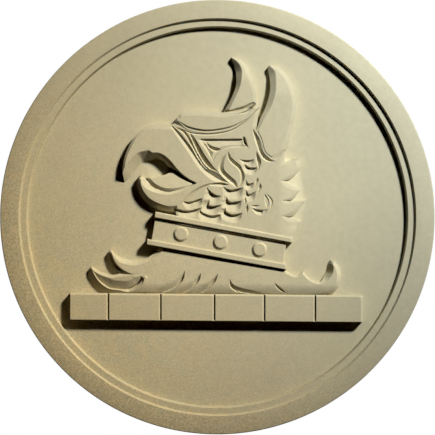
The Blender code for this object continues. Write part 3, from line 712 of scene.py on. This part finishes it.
class Plate:
    """A raised plate: a top, bevels down to its foot, a sheer wall below that, and cuts in it.

    The slopes and the tilt may be functions of the points. A soft plate rounds off and runs out to
    nothing at its foot. A limit is a function that bounds the height.
    """

    def __init__(self, rows, top, slope=BEVEL_SLOPE, upper_slope=None, cuts=(), tilt=0.0, soft=False,
                 limit=None):
        loop = smooth_loop(rows)
        self.top_loop = on_sheet(loop[:, :2])
        self.foot_loop = on_sheet(loop[:, 2:4])
        self.top = top
        self.slope = slope
        self.upper_slope = slope if upper_slope is None else upper_slope
        self.cuts = cuts
        self.tilt = tilt
        self.soft = soft
        self.limit = limit

    def at(self, points):
        """The plate's height at each point, and minus infinity outside its foot."""
        height = np.full(len(points), -np.inf)
        near = np.flatnonzero(close_to(points, self.foot_loop, EDGE_TOLERANCE))
        if len(near) == 0:
            return height
        spots = points[near]
        to_foot = in_parts(lambda part: nearest(part, self.foot_loop, True)[0], spots)
        within = in_parts(inside, spots, self.foot_loop) | (to_foot < EDGE_TOLERANCE)
        near, spots, to_foot = near[within], spots[within], to_foot[within]
        to_top, facing = self.from_top(spots)
        top = self.top + value_at(self.tilt, spots)
        if self.soft:
            share = to_foot / np.maximum(to_top + to_foot, 1e-6)
            found = top * share**2 * (3.0 - 2.0 * share)
        else:
            slope = self.edge_slope(spots, facing)
            drop = slope * (np.hypot(to_top, EDGE_SOFTNESS) - EDGE_SOFTNESS)
            found = np.maximum(top - drop, 0.0)
        if self.limit:
            found = np.minimum(found, self.limit(spots))
        depth = np.zeros(len(spots))
        for cut in self.cuts:
            depth = np.maximum(depth, cut.at(spots))
        height[near] = found - depth
        return height

    def edge_slope(self, spots, facing):
        """The bevel's slope at each spot: gentler on edges that face the upper right."""
        rising = np.clip(facing @ np.array(UPPER_RIGHT) / FACING_BLEND + FACING_START, 0.0, 1.0)
        slope = value_at(self.slope, spots)
        return slope + (value_at(self.upper_slope, spots) - slope) * rising

    def from_top(self, spots):
        """How far each spot is from the top's edge, and the way from the edge to it."""
        found = in_parts(lambda part: np.column_stack(nearest(part, self.top_loop, True)), spots)
        distance, place = found[:, 0], found[:, 1]
        loop = np.vstack((self.top_loop, self.top_loop[:1]))
        steps = np.arange(len(loop))
        foot = np.column_stack((np.interp(place, steps, loop[:, 0]), np.interp(place, steps, loop[:, 1])))
        facing = (spots - foot) / np.maximum(distance, 1e-6)[:, None]
        within = in_parts(inside, spots, self.top_loop)
        distance[within] = 0.0
        return distance, facing

    def lines(self):
        """The closed lines that the mesh follows: the top's edge, the foot and the wall's foot."""
        return [self.top_loop, self.foot_loop, offset_loop(self.foot_loop, WALL_RUN)]


def offset_loop(loop, distance):
    """A closed loop moved outwards."""
    before = np.roll(loop, 1, axis=0)
    after = np.roll(loop, -1, axis=0)
    way_in = unit_ways(loop - before)
    way_out = unit_ways(after - loop)
    normal = np.column_stack((way_in[:, 1] + way_out[:, 1], -way_in[:, 0] - way_out[:, 0]))
    size = np.maximum(np.linalg.norm(normal, axis=1), 0.6)
    area = (loop[:, 0] * after[:, 1] - after[:, 0] * loop[:, 1]).sum()
    return loop + normal / size[:, None] ** 2 * 2.0 * distance * math.copysign(1.0, area)


def circle(radius, sides):
    """Evenly spaced points on a circle."""
    turns = math.tau * np.arange(sides) / sides
    return radius * np.column_stack((np.cos(turns), np.sin(turns)))


def polygon_rows(corners, insets):
    """Rows of a straight-sided plate: the foot's corners, and the top's, inset by each edge's width."""
    corners = np.asarray(corners, float)
    way = unit_ways(np.roll(corners, -1, axis=0) - corners)
    inward = np.column_stack((-way[:, 1], way[:, 0]))
    rows = []
    for number, corner in enumerate(corners):
        sides = np.array((inward[number - 1], inward[number]))
        shift = np.linalg.solve(sides, (insets[number - 1], insets[number]))
        rows.append((*(corner + shift), *corner, CORNER))
    return rows


def bar_point(x, y):
    """A sheet point on the bar, whose edges follow the sheet's turn."""
    return x, y + (x - BAR_LEFT) * math.tan(SHEET_TURN)


def stud_rows(x, y):
    """Rows of a round stud."""
    foot = STUD_RADIUS / UNIT
    rings = np.hstack((circle(foot - STUD_INSET, STUD_POINTS), circle(foot, STUD_POINTS)))
    return [tuple(row) for row in rings + (x, y, x, y)]


def tip_cut(depth, gentle, points):
    """A feather tip's lower edge: a steep drop under the tip, and a gentle rise to the next."""
    shares = [TIP_LEFT_SHARE] + [1.0] * (len(points) - 2) + [TIP_RIGHT_SHARE]
    rows = [(x, y, share) for (x, y), share in zip(points, shares)]
    return Cut(TIP_STEEP, gentle, depth, rows)


def neck_tilt(points):
    """The torn neck swells gently downwards, then rounds off to the bar."""
    down = -points[:, 1]
    swell = np.clip((down - NECK_SWELL_START) / (NECK_ROUND_START - NECK_SWELL_START), 0.0, 1.0)
    turn = np.clip((down - NECK_ROUND_START) / (NECK_ROUND_END - NECK_ROUND_START), 0.0, 1.0)
    return NECK_SWELL * (swell - 0.5) - NECK_ROUND_DROP * turn**2


def in_box(points, box):
    """Which points lie in a box of the sheet, given by its upper left and lower right corners."""
    low, high = on_sheet(box)
    across = (points[:, 0] > low[0]) & (points[:, 0] < high[0])
    return across & (points[:, 1] < low[1]) & (points[:, 1] > high[1])


def eased(distance, blend):
    """A distance past a line, which starts smoothly; nothing before the line."""
    past = np.maximum(distance, 0.0)
    return past**2 / (past + blend)


def mane_share(points):
    """How fully each point belongs to the soft feathers at the right."""
    high_left, low_right = on_sheet(MANE_BOX)
    inwards = np.minimum(high_left[1] - points[:, 1], points[:, 1] - low_right[1])
    return np.clip(inwards / MANE_BLEND, 0.0, 1.0) * (points[:, 0] > high_left[0])


def head_slope(points):
    """The head's bevels are steep, but gentle on the feathers at the right."""
    return BEVEL_SLOPE + (MANE_SLOPE - BEVEL_SLOPE) * mane_share(points)


def head_upper_slope(points):
    """The bevels on the head's upper right sides are gentle, but the jaw's inner side is steep."""
    return np.where(in_box(points, JAW_BOX), BEVEL_SLOPE, UPPER_SLOPE)


def head_tilt(points):
    """The feathers at the right fall away to their tips."""
    beyond = points[:, 0] - on_sheet(MANE_EDGE)[0]
    return -MANE_FALL * eased(beyond, MANE_BLEND) * mane_share(points)


def hook_limit(points):
    """The greatest height at each point: the beak's hook slopes evenly out into the mouth."""
    limit = np.full(len(points), np.inf)
    near = in_box(points, HOOK_BOX)
    slope = np.interp(points[near, 0], on_sheet(HOOK_PLACES)[:, 0], HOOK_SLOPES)
    limit[near] = slope * nearest(points[near], on_sheet(smooth_line(HOOK_LINE)), closed=False)[0]
    return limit


def curl_tilt(points):
    """The lower curl rises to the neck at its right."""
    return CURL_RISE * np.maximum(points[:, 0] - on_sheet(CURL_RISE_START)[0], 0.0)


def ear_tilt(bend, fall):
    """The tilt of an ear that drops to its tip above a bend."""
    level = on_sheet(bend)[1]
    return lambda points: -fall * eased(points[:, 1] - level, EAR_BLEND)


def tongue_tilt(points):
    """The tongue lies tilted upwards, and its lower edge is the highest."""
    return TONGUE_SLOPE * ((points - on_sheet(TONGUE_MIDDLE)) @ np.array(TONGUE_RISE))


def cut_each(table):
    """The cuts of a table."""
    return [Cut(*row) for row in table]


def joint_cuts():
    """The cuts between the bar's blocks."""
    cuts = []
    for x in BAR_JOINTS:
        ends = (bar_point(x, BAR_UPPER + JOINT_INSETS[0]), bar_point(x, BAR_LOWER - JOINT_INSETS[1]))
        cuts += [Cut(*sizes, [(*end, 1.0) for end in ends]) for sizes in JOINT_CUTS]
    return cuts


def make_plates():
    """All the raised plates."""
    ear_cuts = cut_each(EAR_CUTS)
    head_cuts = cut_each(HEAD_CUTS) + [tip_cut(*tip) for tip in FEATHER_TIPS] + ear_cuts
    bar = [bar_point(*corner) for corner in BAR]
    plates = [
        Plate(MANE, MANE_TOP, soft=True),
        Plate(HEAD, HEAD_TOP, head_slope, head_upper_slope, head_cuts, head_tilt, limit=hook_limit),
        Plate(NECK, NECK_TOP, cuts=cut_each(NECK_CUTS), tilt=neck_tilt),
        Plate(LOWER_CURL, CURL_TOP, cuts=cut_each(CURL_CUTS), tilt=curl_tilt),
        Plate(BROW, BROW_TOP, BROW_SLOPE, UPPER_SLOPE, cut_each(BROW_CUTS) + ear_cuts),
        Plate(FRONT_EAR, FRONT_EAR_TOP, BEVEL_SLOPE, UPPER_SLOPE, ear_cuts, ear_tilt(*FRONT_EAR_DROP)),
        Plate(
            BACK_EAR, BACK_EAR_TOP, BACK_EAR_SLOPE, UPPER_SLOPE, cut_each(BACK_EAR_CUTS),
            ear_tilt(*BACK_EAR_DROP),
        ),
        Plate(TONGUE, TONGUE_TOP, tilt=tongue_tilt),
        Plate(polygon_rows(bar, BAR_INSETS), BAR_TOP, STRAIGHT_SLOPE, cuts=joint_cuts()),
        Plate(polygon_rows(BAND, BAND_INSETS), BAND_TOP, STRAIGHT_SLOPE),
        Plate(polygon_rows(UPPER_RAIL, RAIL_INSETS), RAIL_TOP, STRAIGHT_SLOPE),
        Plate(polygon_rows(LOWER_RAIL, RAIL_INSETS), RAIL_TOP, STRAIGHT_SLOPE),
    ]
    return plates + [Plate(stud_rows(x, y), STUD_TOP, STRAIGHT_SLOPE) for x, y in STUDS]


def field_height(points, mouth):
    """The sunk field, with the mouth sunk below it."""
    height = np.zeros(len(points))
    near = np.flatnonzero(close_to(points, mouth, 0.0))
    within = near[in_parts(inside, points[near], mouth)]
    lip = on_sheet(MOUTH_LIP)
    way = on_sheet(MOUTH_BACK) - lip
    share = np.clip(((points[within] - lip) @ way) / (way @ way), 0.0, MOUTH_DEEPEST_SHARE)
    edge = in_parts(lambda part: nearest(part, mouth, True)[0], points[within])
    height[within] = -MOUTH_DEPTH * share * np.clip(edge / MOUTH_EDGE_RUN, 0.0, 1.0)
    return height


def surface_height(points, plates, mouth):
    """Height above the field at each point: the highest of the field and the plates."""
    height = field_height(points, mouth)
    for plate in plates:
        height = np.maximum(height, plate.at(points))
    return height


def hexagonal_points(step, radius):
    """Evenly spaced points in a circle."""
    rows = int(radius / (step * math.sqrt(0.75))) + 1
    points = []
    for row in range(-rows, rows + 1):
        up = row * step * math.sqrt(0.75)
        shift = 0.5 * step * (row % 2)
        across = np.arange(-radius - step, radius + step, step) + shift
        points.append(np.column_stack((across, np.full(len(across), up))))
    points = np.vstack(points)
    return points[np.hypot(points[:, 0], points[:, 1]) < radius]


def carved_region(points, plates):
    """Which points lie on a plate or right beside one."""
    found = np.zeros(len(points), bool)
    for plate in plates:
        near = np.flatnonzero(close_to(points, plate.foot_loop, CARVED_MARGIN) & ~found)
        hit = in_parts(inside, points[near], offset_loop(plate.foot_loop, CARVED_MARGIN))
        found[near[hit]] = True
    return found


def tree_of(points):
    """A search tree of flat points."""
    tree = KDTree(len(points))
    for index, point in enumerate(points):
        tree.insert((*point, 0.0), index)
    tree.balance()
    return tree


def field_mesh(plates, mouth):
    """Points and triangles of the sunk field with its carving, inside the inner step's foot."""
    radius = RING_INNER_RADIUS - STEP_DRAFT
    closed_lines = [circle(radius, DISC_SIDES), mouth] + [line for plate in plates for line in plate.lines()]
    open_lines = [line for plate in plates for cut in plate.cuts for line in cut.borders()]
    points, edges = [], []
    count = 0
    for line, closed in [(line, True) for line in closed_lines] + [(line, False) for line in open_lines]:
        points.append(line)
        edges += [(count + step, count + step + 1) for step in range(len(line) - 1)]
        if closed:
            edges.append((count + len(line) - 1, count))
        count += len(line)
    tree = tree_of(np.vstack(points))
    fine = hexagonal_points(CARVED_STEP, radius - CARVED_BORDER)
    fine = fine[carved_region(fine, plates)]
    coarse = hexagonal_points(FIELD_STEP, radius - FIELD_BORDER)
    coarse = coarse[~carved_region(coarse, plates)]
    for fill, gap in ((fine, CARVED_CLEARANCE), (coarse, FIELD_CLEARANCE)):
        free = [tree.find((*point, 0.0))[2] > gap for point in fill]
        points.append(fill[free])
    flat = [Vector(point) for point in np.vstack(points)]
    flat, _, faces, _, _, _ = delaunay_2d_cdt(flat, edges, [], 0, MERGE_DISTANCE, False)
    return np.array([(point.x, point.y) for point in flat]), faces


def turned_profile():
    """Distances from the axis and heights above the field, from the inner step's foot to the back."""
    profile = []
    for radius, low, high in ((RING_INNER_RADIUS, 0.0, RING_RISE), (RIM_INNER_RADIUS, RING_RISE, RIM_RISE)):
        profile += [(radius - STEP_DRAFT, low), (radius, high - STEP_ROUND), (radius + STEP_ROUND, high)]
    radius = DIAMETER / 2.0
    for step in range(RIM_EDGE_STEPS + 1):
        turn = math.pi / 2.0 * (1.0 - step / RIM_EDGE_STEPS)
        distance = radius - RIM_EDGE_ROUND * (1.0 - math.cos(turn))
        profile.append((distance, RIM_RISE - RIM_EDGE_ROUND * (1.0 - math.sin(turn))))
    profile.append((radius, -BODY_DEPTH + BACK_EDGE_CHAMFER))
    profile.append((radius - BACK_EDGE_CHAMFER, -BODY_DEPTH))
    return profile


def disc_mesh(plates):
    """The whole disc as one closed mesh."""
    mouth = on_sheet(smooth_loop(MOUTH)[:, :2])
    flat, triangles = field_mesh(plates, mouth)
    height = surface_height(flat, plates, mouth)
    points = np.column_stack((flat[:, 0], -(BODY_DEPTH + height), flat[:, 1]))
    profile = turned_profile()
    tree = tree_of(flat)
    inner = [tree.find((*spot, 0.0))[1] for spot in circle(profile[0][0], DISC_SIDES)]
    faces = [list(triangle) for triangle in triangles]
    for distance, rise in profile[1:]:
        across, up = circle(distance, DISC_SIDES).T
        ring = np.column_stack((across, np.full(DISC_SIDES, -(BODY_DEPTH + rise)), up))
        first = len(points)
        points = np.vstack((points, ring))
        outer = list(range(first, first + DISC_SIDES))
        for side in range(DISC_SIDES):
            after = (side + 1) % DISC_SIDES
            faces.append([inner[side], outer[side], outer[after], inner[after]])
        inner = outer
    faces.append(inner)
    return points * MM, faces


def added(name, data):
    """A new object in the scene."""
    thing = bpy.data.objects.new(name, data)
    bpy.context.scene.collection.objects.link(thing)
    return thing


def build_disc():
    """The medallion as one piece."""
    points, faces = disc_mesh(make_plates())
    mesh = bpy.data.meshes.new("medallion_stone")
    mesh.from_pydata([tuple(point) for point in points], [], faces)
    mesh.validate()
    piece = added("medallion_stone", mesh)
    face_outwards(mesh)
    mesh.shade_smooth()
    mesh.set_sharp_from_angle(angle=SHARP_ANGLE)
    mesh.materials.append(stone_material())
    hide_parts("medallion")
    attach(piece, "root")


def face_outwards(mesh):
    """Turns the faces so that they all point out of the stone."""
    bm = bmesh.new()
    bm.from_mesh(mesh)
    bmesh.ops.recalc_face_normals(bm, faces=bm.faces)
    if bm.calc_volume(signed=True) < 0.0:
        bmesh.ops.reverse_faces(bm, faces=bm.faces[:])
    bm.to_mesh(mesh)
    bm.free()


def feed(tree, socket, value):
    """Gives an input a fixed value or another node's output."""
    if isinstance(value, (float, tuple)):
        socket.default_value = value
    else:
        tree.links.new(value, socket)


def node(tree, kind, inputs, **settings):
    """A shader node with its inputs fed and its settings made."""
    made = tree.nodes.new("ShaderNode" + kind)
    for name, setting in settings.items():
        setattr(made, name, setting)
    for key, value in inputs.items():
        feed(tree, made.inputs[key], value)
    return made


def noise(tree, place, scale, detail, roughness):
    """A noise over the surface, from nought to one."""
    inputs = {"Vector": place, "Scale": scale, "Detail": detail, "Roughness": roughness}
    return node(tree, "TexNoise", inputs).outputs["Fac"]


def ranged(tree, value, low, high, low_out, high_out):
    """A value whose stretch from low to high becomes another stretch."""
    inputs = {"Value": value, "From Min": low, "From Max": high, "To Min": low_out, "To Max": high_out}
    return node(tree, "MapRange", inputs).outputs["Result"]


def times(tree, first, second):
    """The product of two numbers."""
    return node(tree, "Math", {0: first, 1: second}, operation="MULTIPLY").outputs["Value"]


def mixed(tree, kind, factor, first, second, blend="MIX"):
    """A blend of two numbers or colours."""
    made = node(tree, "Mix", {"Factor": factor}, data_type=kind, blend_type=blend)
    sockets = [socket for socket in made.inputs if socket.type == MIX_SOCKETS[kind]][-2:]
    for socket, value in zip(sockets, (first, second)):
        feed(tree, socket, value)
    return next(socket for socket in made.outputs if socket.type == MIX_SOCKETS[kind])


def pattern(tree, place, scale, detail, roughness, *stretch):
    """A noise, with a stretch of it drawn out to other values."""
    return ranged(tree, noise(tree, place, scale, detail, roughness), *stretch)


def wear_and_shade_share(tree, place):
    """Share of painted shade tone and wear: most at the lower left, away from the lamp, and on the rim."""
    apart = node(tree, "SeparateXYZ", {"Vector": place}).outputs
    total = node(tree, "Math", {0: apart["X"], 1: apart["Z"]}, operation="ADD")
    flat = node(tree, "VectorMath", {0: place, 1: (1.0, 0.0, 1.0)}, operation="MULTIPLY")
    length = node(tree, "VectorMath", {0: flat.outputs["Vector"]}, operation="LENGTH")
    low = ranged(tree, total.outputs["Value"], *WEAR_AND_SHADE_STRETCH, 1.0, 0.0)
    rim = ranged(tree, length.outputs["Value"], *RIM_STRETCH, FIELD_WEAR_AND_SHADE, 1.0)
    return times(tree, low, rim)


def stone_material():
    """Fine pale buff stone: clouds, grain, pores, painted shade tone and wear at the lower left, dull all
    over.
    """
    material = bpy.data.materials.new("buff_stone_fine")
    material.use_nodes = True
    tree = material.node_tree
    shader = tree.nodes["Principled BSDF"]
    place = tree.nodes.new("ShaderNodeTexCoord").outputs["Object"]
    # Painted shade tone with some wear: a mask strongest at the lower left, away from the lamp.
    wear_and_shade = wear_and_shade_share(tree, place)
    layers = (CLOUDS, MOTTLE, GRAIN, UNEVEN_GRAIN, STAINS)
    clouds, mottle, grain, uneven_grain, stains = [pattern(tree, place, *layer) for layer in layers]
    rough = mixed(tree, "FLOAT", wear_and_shade, 1.0, uneven_grain)
    shade = times(tree, times(tree, times(tree, clouds, mottle), grain), rough)
    # Warmer stains laid on by that mask: partly real stains, partly painted shade tone.
    base = mixed(tree, "RGBA", times(tree, wear_and_shade, stains), STONE_COLOR, WORN_AND_SHADED_COLOR)
    color = mixed(tree, "RGBA", 1.0, base, shade, blend="MULTIPLY")
    tree.links.new(color, shader.inputs["Base Color"])
    pores = {"Strength": PORE_STRENGTH, "Distance": PORE_DEPTH, "Height": noise(tree, place, *PORES)}
    tree.links.new(node(tree, "Bump", pores).outputs["Normal"], shader.inputs["Normal"])
    shader.inputs["Roughness"].default_value = STONE_ROUGHNESS
    shader.inputs["Specular IOR Level"].default_value = STONE_SHEEN
    return material


def build_floor():
    """A plain pale floor well below the medallion."""
    sides = ((-1, -1), (1, -1), (1, 1), (-1, 1))
    corners = [(FLOOR_HALF * across, FLOOR_HALF * back, FLOOR_LEVEL) for across, back in sides]
    mesh = bpy.data.meshes.new("studio_floor")
    mesh.from_pydata(corners, [], [(0, 1, 2, 3)])
    floor = added("studio_floor", mesh)
    material = bpy.data.materials.new("pale_floor")
    material.use_nodes = True
    shader = material.node_tree.nodes["Principled BSDF"]
    shader.inputs["Base Color"].default_value = FLOOR_COLOR
    shader.inputs["Roughness"].default_value = FLOOR_ROUGHNESS
    mesh.materials.append(material)


def spot(name, place, aim, half_angle, softness, powers):
    """A soft round beam from a place to an aim, which fades out evenly to its half angle."""
    data = bpy.data.lights.new(name, "SPOT")
    way = Vector(aim) - Vector(place)
    data.spot_size = 2.0 * half_angle
    data.spot_blend = 1.0
    data.shadow_soft_size = softness
    data.energy = max(powers)
    data.color = [power / max(powers) for power in powers]
    light = added(name, data)
    light.location = place
    light.rotation_euler = way.to_track_quat("-Z", "Y").to_euler()


def build_lights():
    """Two beams from one soft lamp on the carving, and two plain beams on the back."""
    level, forward = math.cos(LIGHT_ELEVATION), math.sin(LIGHT_ELEVATION)
    way = Vector((level * math.cos(LIGHT_AZIMUTH), -forward, level * math.sin(LIGHT_AZIMUTH)))
    field = -BODY_DEPTH * MM
    lamp = Vector((0.0, field, 0.0)) + way * LIGHT_DISTANCE
    softness = LIGHT_DISTANCE * math.tan(LIGHT_SOFTNESS)
    # The power that would light a pure white field to a brightness of one.
    full_power = 4.0 * math.pi**2 * LIGHT_DISTANCE**2 / forward
    for name, (across, up), radius, tone in BEAMS:
        powers = [full_power * value / color for value, color in zip(tone, STONE_COLOR)]
        half_angle = math.atan(radius / LIGHT_DISTANCE)
        spot(name, lamp, (across, field, up), half_angle, softness, powers)
    for name, place, power in BACK_LIGHTS:
        half_angle = math.atan(BACK_RADIUS / Vector(place).length)
        spot(name, place, (0.0, 0.0, 0.0), half_angle, BACK_SOFTNESS, (power, power, power))


def build_world():
    """White behind the medallion, and a faint even light in the shadows."""
    world = bpy.data.worlds.new("studio")
    world.use_nodes = True
    tree = world.node_tree
    tree.nodes.clear()
    shades = [
        node(tree, "Background", {"Color": (1.0, 1.0, 1.0, 1.0), "Strength": strength}).outputs["Background"]
        for strength in (AMBIENT, 1.0)
    ]
    seen = node(tree, "LightPath", {}).outputs["Is Camera Ray"]
    mix = node(tree, "MixShader", {"Fac": seen, 1: shades[0], 2: shades[1]})
    node(tree, "OutputWorld", {"Surface": mix.outputs["Shader"]})
    bpy.context.scene.world = world


def build_camera():
    """The camera, turned as the photograph is."""
    data = bpy.data.cameras.new("camera")
    data.sensor_fit = "HORIZONTAL"
    data.angle = 2.0 * math.atan(VIEW_WIDTH / 2.0 / CAMERA_DISTANCE)
    camera = added("camera", data)
    camera.location = CAMERA_SPOT
    camera.rotation_euler = (math.pi / 2.0, -SHEET_TURN, 0.0)
    bpy.context.scene.camera = camera


build_disc()
build_floor()
build_lights()
build_world()
build_camera()
view = bpy.context.scene.view_settings
view.view_transform = "Standard"
view.use_curve_mapping = True
view.curve_mapping.black_level = BLACK_LEVEL
view.curve_mapping.update()
